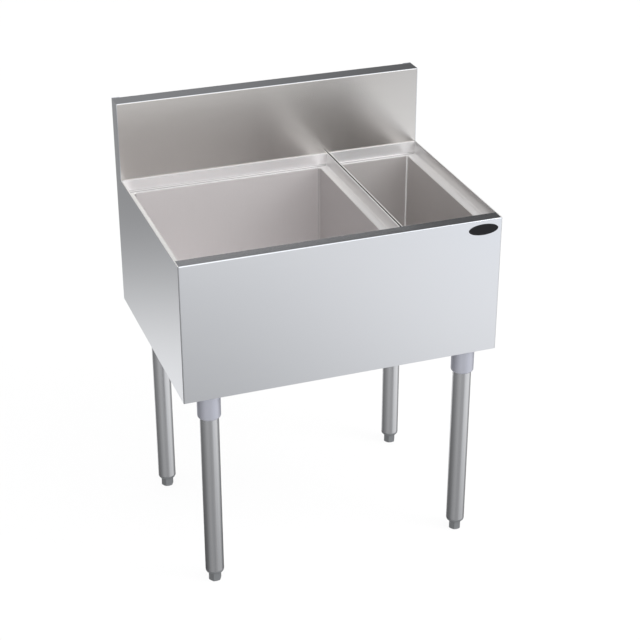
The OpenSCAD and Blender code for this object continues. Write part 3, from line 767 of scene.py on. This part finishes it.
def thread(start, stop, pitch, first_r, second_r):
    """The ridges of a screw thread, as outline points; a negative pitch runs downwards."""
    heights = [start + i * pitch for i in range(int((stop - start) / pitch))]
    return [point for z in heights for point in ((first_r, z), (second_r, z + pitch / 2))]


ridges = thread(FLANGE_UNDER - 5, SHANK_END, -RIDGE, SHANK_R, SHANK_CORE)
print("drain", round(FLANGE_TOP - TAIL_END, 1), "mm tall,", len(ridges) // 2, "thread ridges")

# %% Turn a drain and drill a strainer
drain = turn("ice_drain_fitting", [
    (SEAT_R, SEAT_Z), (SEAT_R, FLANGE_TOP), (FLANGE_R - 1.2, FLANGE_TOP), (FLANGE_R - 0.3, FLANGE_TOP - 0.4),
    (FLANGE_R, FLANGE_TOP - 1.2), (FLANGE_R, FLANGE_UNDER), (SHANK_R, FLANGE_UNDER), *ridges,
    (SHANK_CORE, SHANK_END), (TAIL_R, SHANK_END), (TAIL_R, TAIL_END + 1), (TAIL_R - 1, TAIL_END),
    (BORE_R, TAIL_END), (BORE_R, SEAT_Z - FUNNEL_H), (FUNNEL_R, SEAT_Z), (SEAT_R, SEAT_Z)],
    DRAINS["ice"], steps=96)
strainer = turn("ice_strainer_disc", [
    (0, STRAINER_Z), (STRAINER_R, STRAINER_Z), (STRAINER_R, STRAINER_Z + STRAINER_T),
    (0, STRAINER_Z + STRAINER_T)], DRAINS["ice"], steps=96)
drills = []
for ring in range(3):
    for i in range(max(1, 6 * ring)):
        turned = math.radians(i * 60 / max(1, ring))
        place = (DRAINS["ice"][0] + ring * HOLE_PITCH * math.cos(turned),
                 DRAINS["ice"][1] + ring * HOLE_PITCH * math.sin(turned), STRAINER_Z)
        drills.append(bar("drill", place, STRAINER_HOLE_R, 6, sides=24))
cut(strainer, weld("drills", drills))
aside = (DRAINS["bottle"][0] - DRAINS["ice"][0], 0, 0)
second = [copy_to(drain, "bottle_drain_fitting", aside), copy_to(strainer, "bottle_strainer_disc", aside)]
for name, fitting, disc in (("ice", drain, strainer), ("bottle", *second)):
    finish(fitting, turned_steel, name + "_drain_body", deburr=0)
    finish(disc, turned_steel, name + "_strainer", name + "_strainer_plate", deburr=0.2)

# %% [markdown]
# ## Legs and sockets
#
# A socket is a casting: a plate that bolts under the cabinet and a sleeve with a rounded lower edge that
# takes the leg tube. The plate meets the sleeve in a small fillet. A grub screw behind the sleeve pinches
# the tube.

# %% Drawing sizes of the legs
LEG_X, LEG_FRONT, LEG_BACK = 293.0, -225.5, 180.5
LEGS = {"front_left": (-LEG_X, LEG_FRONT), "front_right": (LEG_X, LEG_FRONT),
        "back_left": (-LEG_X, LEG_BACK), "back_right": (LEG_X, LEG_BACK)}
first = LEGS["front_left"]
PLATE_W, PLATE_D, PLATE_T, PLATE_CORNER = 92.0, 54.0, 3.0, 6.0
SOCKET_END, SLEEVE_R, SLEEVE_BORE, SLEEVE_ROUND, FILLET = 424.5, 25.4, 20.9, 3.6, 2.5
BOLT_X, BOLT_Y, BOLT_R, BOLT_AF, BOLT_HEAD, BOLT_END = 36.0, 11.0, 4.0, 13.0, 5.0, 494.7
GRUB_Z, GRUB_R, KEY_AF, LYING = 440.5, 3.0, 3.0, (90, 0, 0)
TUBE_R, TUBE_BORE, TUBE_END, TUBE_TOP = 20.65, 19.05, 30.6, 482.75
BOLTS = [(sx * BOLT_X, sy * BOLT_Y) for sx in (-1, 1) for sy in (-1, 1)]
print("legs stand", 2 * LEG_X, "x", LEG_BACK - LEG_FRONT, "mm apart")


def arc(centre, radius, start, end, steps=6):
    """Points of (radius, height) along an arc, for an outline; angles are in degrees."""
    turned = [math.radians(start + (end - start) * i / steps) for i in range(steps + 1)]
    return [(centre[0] + radius * math.cos(a), centre[1] + radius * math.sin(a)) for a in turned]


# %% Cast a socket
UNDER = BOTTOM_Z - PLATE_T
socket = turn("socket_casting_front_left", [
    (SLEEVE_BORE - 1, SOCKET_END),
    *arc((SLEEVE_R - SLEEVE_ROUND, SOCKET_END + SLEEVE_ROUND), SLEEVE_ROUND, -90, 0),
    *arc((SLEEVE_R + FILLET, UNDER - FILLET), FILLET, 180, 90), (SLEEVE_R + FILLET, UNDER + 1),
    (SLEEVE_BORE - 1, UNDER + 1), (SLEEVE_BORE - 1, SOCKET_END)], first, steps=96)
bpy.ops.object.mode_set(mode="OBJECT")
plate = flat("plate", (first[0] - PLATE_W / 2, first[1] - PLATE_D / 2, UNDER),
             (first[0] + PLATE_W / 2, first[1] + PLATE_D / 2, UNDER), "+Z")
bpy.ops.mesh.select_mode(type="VERT")
bpy.ops.mesh.bevel(offset=PLATE_CORNER * MM, segments=8, affect="VERTICES", clamp_overlap=False)
bpy.ops.mesh.select_mode(type="FACE")
pick_all()
raise_by((0, 0, PLATE_T))
tidy()
cut(socket, plate, "UNION")
cut(socket, bar("bore", (*first, (SOCKET_END + BOTTOM_Z) / 2), SLEEVE_BORE, 80))
cut(socket, bar("tap", (first[0], first[1] + SLEEVE_R, GRUB_Z), GRUB_R + 0.05, 12, turned=LYING))
cut(socket, weld("drills", [bar("drill", (first[0] + x, first[1] + y, BOTTOM_Z), BOLT_R + 0.3, 20)
                            for x, y in BOLTS]))
print("socket:", len(socket.data.polygons), "faces")

# %% [markdown]
# A hexagon bar whose corners are turned off has the curved edge of a real bolt's head. Only what lies
# inside a turned cone is kept. The same trick makes the feet.

# %% Make the bolts and grub screws
def hexagon(name, x, y, low, high, across, turned=0.0):
    """A hexagon bar between two heights; across is its size over the flats."""
    return bar(name, (x, y, (low + high) / 2), across / math.sqrt(3), high - low, 6, (0, 0, turned - 30))


HEAD_Z = UNDER - BOLT_HEAD
place = (first[0] + BOLTS[0][0], first[1] + BOLTS[0][1])
bolt = hexagon("bolt", *place, HEAD_Z, UNDER, BOLT_AF)
flat_r, corner_r = BOLT_AF / 2 - 0.4, BOLT_AF / math.sqrt(3) + 0.1
cone = turn("cone", [(0, HEAD_Z - 0.01), (flat_r, HEAD_Z - 0.01), (corner_r, HEAD_Z + 0.8),
                     (corner_r, UNDER + 0.5), (0, UNDER + 0.5)], place, steps=48)
cut(bolt, cone, "INTERSECT")
shank = turn("shank", [(0, UNDER - 1), (BOLT_R, UNDER - 1), (BOLT_R, BOLT_END - 1), (BOLT_R - 0.8, BOLT_END),
                       (0, BOLT_END)], place, steps=32)
cut(bolt, shank, "UNION")
bolts = [copy_to(bolt, "bolt", (x + a - place[0], y + b - place[1], 0))
         for x, y in LEGS.values() for a, b in BOLTS]
bpy.data.objects.remove(bolt)
finish(weld("socket_bolt_heads", bolts), bolt_steel, "socket_bolts", deburr=0.2)

screws = []
for x, y in LEGS.values():
    screw = bar("screw", (x, y + (TUBE_R + SLEEVE_R) / 2, GRUB_Z), GRUB_R, SLEEVE_R - TUBE_R, turned=LYING)
    key = hexagon("key", x, GRUB_Z, -1, 1, KEY_AF)
    bpy.ops.object.mode_set(mode="EDIT")
    pick_all()
    bpy.ops.transform.rotate(value=math.radians(-90), orient_axis="X", center_override=metres((x, GRUB_Z, 0)))
    bpy.ops.transform.translate(value=metres((0, y + SLEEVE_R - GRUB_Z, GRUB_Z)))
    bpy.ops.object.mode_set(mode="OBJECT")
    cut(screw, key)
    screws.append(screw)
finish(weld("grub_screw_set", screws), bolt_steel, "socket_grub_screws", deburr=0.15)

# %% [markdown]
# The leg is a plain satin tube. A bored plug is pressed into its lower end, and its rounded shoulder is
# as wide as the tube. A hexagon foot hangs below on a threaded stud, so that each corner of the cabinet
# can be raised on its own. Its thread is a row of ridges: a true helix would look the same at this size.

# %% Turn a leg, its plug and its foot
PLUG_END, PLUG_ROUND, PLUG_IN, PLUG_BORE = 22.4, 6.2, 64.6, 8.0
FOOT_AF, FOOT_TURN, SOLE_CHAMFER, STUD_R, STUD_END, PITCH = 25.4, 3.0, 0.8, 7.94, 84.0, 1.95
tube = turn("leg_tube_front_left", [
    (TUBE_BORE, TUBE_END), (TUBE_R - 0.3, TUBE_END), (TUBE_R, TUBE_END + 0.3), (TUBE_R, TUBE_TOP),
    (TUBE_BORE, TUBE_TOP), (TUBE_BORE, TUBE_END)], first, steps=96)
plug = turn("leg_plug_front_left", [
    (PLUG_BORE, PLUG_END),
    *arc((TUBE_R - PLUG_ROUND, PLUG_END + PLUG_ROUND), PLUG_ROUND, -90, 0, steps=10),
    (TUBE_R, TUBE_END), (TUBE_BORE, TUBE_END), (TUBE_BORE, PLUG_IN), (PLUG_BORE, PLUG_IN),
    (PLUG_BORE, PLUG_END)], first, steps=96)
foot = hexagon("hexagon_foot_front_left", *first, 0, PLUG_END, FOOT_AF, FOOT_TURN)
flat_r, corner_r = FOOT_AF / 2 - SOLE_CHAMFER, FOOT_AF / math.sqrt(3) + 1
rise = (corner_r - flat_r) * math.tan(math.radians(30))
cone = turn("cone", [(0, 0), (flat_r, 0), (corner_r, rise), (corner_r, PLUG_END - 0.9),
                     (FOOT_AF / 2, PLUG_END), (0, PLUG_END)], first, steps=64)
cut(foot, cone, "INTERSECT")
STUD_CORE = STUD_R - 0.9
ridges = thread(PLUG_END + 0.6, STUD_END - 1, PITCH, STUD_CORE, STUD_R)
stud = turn("stud", [(0, PLUG_END - 2), (STUD_CORE, PLUG_END - 2), *ridges, (STUD_CORE, STUD_END),
                     (0, STUD_END)], first, steps=48)
cut(foot, stud, "UNION")
print("leg parts:", [len(o.data.polygons) for o in (tube, plug, foot)], "faces")

# %% Stand the four legs
made = {"front_left": (socket, tube, plug, foot)}
names = ("socket_casting_", "leg_tube_", "leg_plug_", "hexagon_foot_")
for corner, (x, y) in list(LEGS.items())[1:]:
    step = (x - first[0], y - first[1], 0)
    made[corner] = [copy_to(o, n + corner, step) for o, n in zip(made["front_left"], names)]
for corner, (casting, leg, plug, foot) in made.items():
    finish(casting, socket_paint, "socket_" + corner, deburr=0.4)
    finish(leg, tube_steel, "leg_" + corner, deburr=0)
    finish(plug, foot_steel, "insert_" + corner, deburr=0.2)
    finish(foot, foot_steel, "foot_" + corner, "levelling_foot_" + corner, deburr=0.3)

# %% [markdown]
# ## The small plate
#
# A small black oval plate, left blank, is glued on the front near its right end. A low bead is embossed a
# little in from its edge. A circle squeezed to the oval's height is the quickest start, and insets that
# rise and fall again emboss the bead.

# %% Press the plate
OVAL_X, OVAL_Z, OVAL_HALF_W, OVAL_HALF_H, OVAL_T, BEAD_RISE = 312.0, 776.5, 34.0, 12.5, 0.6, 0.16
middle = metres((OVAL_X, FRONT_Y, OVAL_Z))
let_go()
bpy.ops.mesh.primitive_circle_add(vertices=96, radius=OVAL_HALF_W * MM, fill_type="NGON", location=middle,
                                  rotation=(math.radians(90), 0, 0))
oval = settle("blank_plate")
bpy.ops.object.mode_set(mode="EDIT")
bpy.ops.mesh.select_mode(type="FACE")
pick_all()
bpy.ops.transform.resize(value=(1, 1, OVAL_HALF_H / OVAL_HALF_W), center_override=middle)
raise_by((0, BEAD_RISE - OVAL_T, 0))
tidy()
pick("FACE", lambda p, way: way.y < -0.9)
for width, rise in ((0.9, 0), (0.25, BEAD_RISE), (0.5, 0), (0.25, -BEAD_RISE)):
    bpy.ops.mesh.inset(thickness=width * MM, depth=rise * MM, use_even_offset=True)
finish(oval, plate_enamel, "name_plate", deburr=0, sharp=30)

# %% [markdown]
# ## What stays as it was measured
#
# The pan, the rails, the foam, the washers and the nuts are hidden or plain, and their solids have the
# right shape, so they only get a finish.

# %% Dress the hidden solids
KEPT = {"bottom_pan": inner_steel, "leg_rail_front": inner_steel, "leg_rail_back": inner_steel,
        "ice_well_foam": cream_foam, "bottle_well_foam": cream_foam, "drain_gaskets": washer_rubber,
        "drain_locknuts": nut_brass, "socket_nuts": bolt_steel}
for name, material in KEPT.items():
    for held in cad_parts[name].material_slots:
        held.material = material
print("kept solids:", {name: len(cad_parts[name].material_slots) for name in KEPT})

# %% [markdown]
# ## The studio
#
# Steel has hardly any colour of its own: it shows what stands round it. So the room is drawn first, as
# the steel sees it. A colour ramp gives the floor, and another the walls, a brightness for each compass
# heading. Soft edged patches are then laid over them, as a photographer sets up cards. The upright faces
# mirror the floor, which is greyer on the left than on the right. The flat rim and the splash's top
# mirror a dark curtain that hangs behind.

# %% The tools to draw a room
AIR_LIGHT = 0.66  # the even light on dull things
BRIGHTEST, OVERHEAD = 1.25, 1.06  # if the room were brighter, the palest steel would show as blank white
RAMP_TOP = 2.0  # a ramp's colours stay under 1, so they hold the brightness as a share of this
air = bpy.data.worlds.new("studio_air")
scene.world = air
air.use_nodes = True
air.node_tree.nodes.clear()
way = node(air, "VectorMath", {0: node(air, "TexCoord").outputs["Generated"]}, operation="NORMALIZE")
way = node(air, "SeparateXYZ", {"Vector": way.outputs[0]}).outputs
heading = node(air, "Math", {0: way["Y"], 1: way["X"]}, operation="ARCTAN2").outputs[0]
heading = node(air, "Math", {0: heading}, operation="DEGREES").outputs[0]


def round_the_room(stops):
    """A brightness for each heading in degrees, where -90 is in front of the bin and 90 is behind it."""
    turned = node(air, "MapRange", {"Value": heading, "From Min": -180.0, "From Max": 180.0}).outputs[0]
    ramp = node(air, "ValToRGB", {"Fac": turned})
    band = ramp.color_ramp.elements
    while len(band) > 1:
        band.remove(band[-1])
    for i, (degrees, level) in enumerate(stops):
        place = band.new((degrees + 180) / 360) if i else band[0]
        place.position = (degrees + 180) / 360
        place.color = (*[level / RAMP_TOP] * 3, 1.0)
    return node(air, "Math", {0: ramp.outputs["Color"], 1: RAMP_TOP}, operation="MULTIPLY").outputs[0]


def lay(under, level, headings=(), heights=(), times=False):
    """Lays a soft edged patch of one level over what is under it, or multiplies that by the level.
    Each pair of headings or heights runs from just outside the patch to just inside it."""
    share = 1.0
    for value, pairs in ((heading, headings), (way["Z"], heights)):
        for outside, inside in pairs:
            edge = node(air, "MapRange", {"Value": value, "From Min": outside, "From Max": inside},
                        interpolation_type="SMOOTHSTEP").outputs[0]
            share = node(air, "Math", {0: share, 1: edge}, operation="MULTIPLY").outputs[0]
    if times:
        level = node(air, "Math", {0: under, 1: level}, operation="MULTIPLY").outputs[0]
    return node(air, "Mix", {"Factor": share, 2: under, 3: level}, data_type="FLOAT").outputs[0]


print("the room is at most", BRIGHTEST)

# %% The floor and the walls that the steel mirrors
low = round_the_room([(-180, 0.42), (-150, 0.62), (-128, 0.71), (-108, 0.63), (-90, 0.62), (-75, 0.77),
                      (-69, 0.96), (-63, 1.11), (-45, 1.15), (-24, 1.3), (-8, 1.2), (10, 0.6), (40, 0.42),
                      (110, 0.33), (150, 0.3), (180, 0.42)])
high = round_the_room([(-180, 0.5), (-145, 0.8), (-122, 1.35), (-100, 1.45), (-82, 1.7), (-70, 1.0),
                       (-64, 0.68), (-50, 0.68), (-30, 0.9), (20, 0.95), (80, 0.8), (130, 0.6), (180, 0.5)])
# the floor darkens towards the bin: half as bright on the left, a third as bright on the right
left_fall = lay(0.55, 1.05, heights=[(-0.60, -0.38)])
right_fall = lay(0.36, 1.0, heights=[(-0.61, -0.47)])
low = lay(low, lay(left_fall, right_fall, [(-76, -62)]), times=True)
# a pale card further off on the left, and a grey one beside it
low = lay(low, 1.5, [(-68, -76)], [(-0.405, -0.38)], times=True)
low = lay(low, 0.72, [(-76, -68), (-63, -65.5)], [(-0.385, -0.33)], times=True)
# a white card on the floor behind the bin, for the foot of the left side, and even grey straight below
low = lay(low, 1.07, [(86, 95), (120, 110)], [(-0.395, -0.51), (-0.56, -0.52)])
low = lay(low, 0.6, heights=[(-0.62, -0.75)])
# a bright ceiling, a bright strip behind on the left, and the dark curtain
high = lay(high, 1.35, heights=[(0.6, 0.85)], times=True)
high = lay(high, 1.12, [(108, 116), (160, 140)], [(0.5, 0.4)])
curtain = lay(0.08, 0.31, [(60, 80)])
high = lay(high, curtain, [(32, 50), (108, 96)], [(0.82, 0.66)])
room = lay(low, high, heights=[(-0.25, 0.02)])
cap = lay(BRIGHTEST, OVERHEAD, heights=[(0.55, 0.75)])
room = node(air, "Math", {0: room, 1: cap}, operation="MINIMUM").outputs[0]
print("room:", len(air.node_tree.nodes), "nodes")

# %% [markdown]
# What the world shows depends on who asks. A mirror ray sees the room, a dull surface gets the even
# light, and the camera sees white. A faint cool tint on the floor at the front right gives the right end
# of the front its blue cast.

# %% Light the world with it
path = node(air, "LightPath").outputs
mirrored = node(air, "Mix", {"Factor": path["Is Glossy Ray"], 2: AIR_LIGHT, 3: room}, data_type="FLOAT")
white = node(air, "Math", {0: path["Is Camera Ray"], 1: path["Is Transmission Ray"]}, operation="MAXIMUM")
seen = node(air, "Mix", {"Factor": white.outputs[0], 2: mirrored.outputs[0], 3: 1.0}, data_type="FLOAT")
cool = lay(0.0, path["Is Glossy Ray"], [(-67, -63.5), (-49, -57)], [(-0.42, -0.37)])
tint = node(air, "Mix", {"Factor": cool, 6: (1.0, 1.0, 1.0, 1.0), 7: (0.93, 0.985, 1.07, 1.0)},
            data_type="RGBA")
shine = node(air, "Background", {"Color": tint.outputs[2], "Strength": seen.outputs[0]})
node(air, "OutputWorld", {"Surface": shine.outputs[0]})
print("light on dull things:", AIR_LIGHT)

# %% [markdown]
# The floor is a pale sheet, white to the camera, that keeps the bin's soft shadow. The steel doesn't see
# it, because the room above already has a floor in it. A solid floor would hide the feet once they are
# screwed out, and the whole underside from below, so the eye looks through it as through thin gauze, at
# the same white.

# %% Pale floor
pale = blank("pale_studio_floor")
GAUZE, FLOOR_GLOW = 0.13, 0.052  # the share of the cloth that shows, and the light that keeps it white
cloth = node(pale, "BsdfDiffuse", {"Color": colour("#f4f4f4")})
clear = node(pale, "BsdfTransparent", {"Color": (1.0, 1.0, 1.0, 1.0)})
lift = node(pale, "Emission", {"Color": (1.0, 1.0, 1.0, 1.0), "Strength": FLOOR_GLOW})
gauze = node(pale, "MixShader", {"Fac": 1 - GAUZE, 1: cloth.outputs[0], 2: clear.outputs[0]})
gauze = node(pale, "AddShader", {0: gauze.outputs[0], 1: lift.outputs[0]})
eye = node(pale, "LightPath").outputs["Is Camera Ray"]
surface = node(pale, "MixShader", {"Fac": eye, 1: cloth.outputs[0], 2: gauze.outputs[0]})
node(pale, "OutputMaterial", {"Surface": surface.outputs[0]})
let_go()
bpy.ops.mesh.primitive_plane_add(size=24)
floor = bpy.context.active_object
floor.name = floor.data.name = "studio_floor"
floor.data.materials.append(pale)
floor.visible_glossy = False
print("floor", floor.dimensions.x, "m across")

# %% [markdown]
# Two large soft lamps hang over the front. They draw the crisp white line along each upper fold and shade
# the grey sockets from right to left.

# %% Soft lamps
def lamp(name, place, aim, size, power):
    light = bpy.data.lights.new(name, "AREA")
    light.shape, light.size, light.energy = "SQUARE", size, power
    holder = bpy.data.objects.new(name, light)
    holder.location = place
    holder.rotation_euler = (Vector(aim) - Vector(place)).to_track_quat("-Z", "Y").to_euler()
    scene.collection.objects.link(holder)


lamp("top_softbox", (0.9, -1.7, 3.3), (0, 0, 0.7), 2.4, 15)
lamp("key_softbox", (2.6, -1.9, 2.9), (0, 0, 0.6), 1.6, 45)
print("lamps:", len(bpy.data.lights))
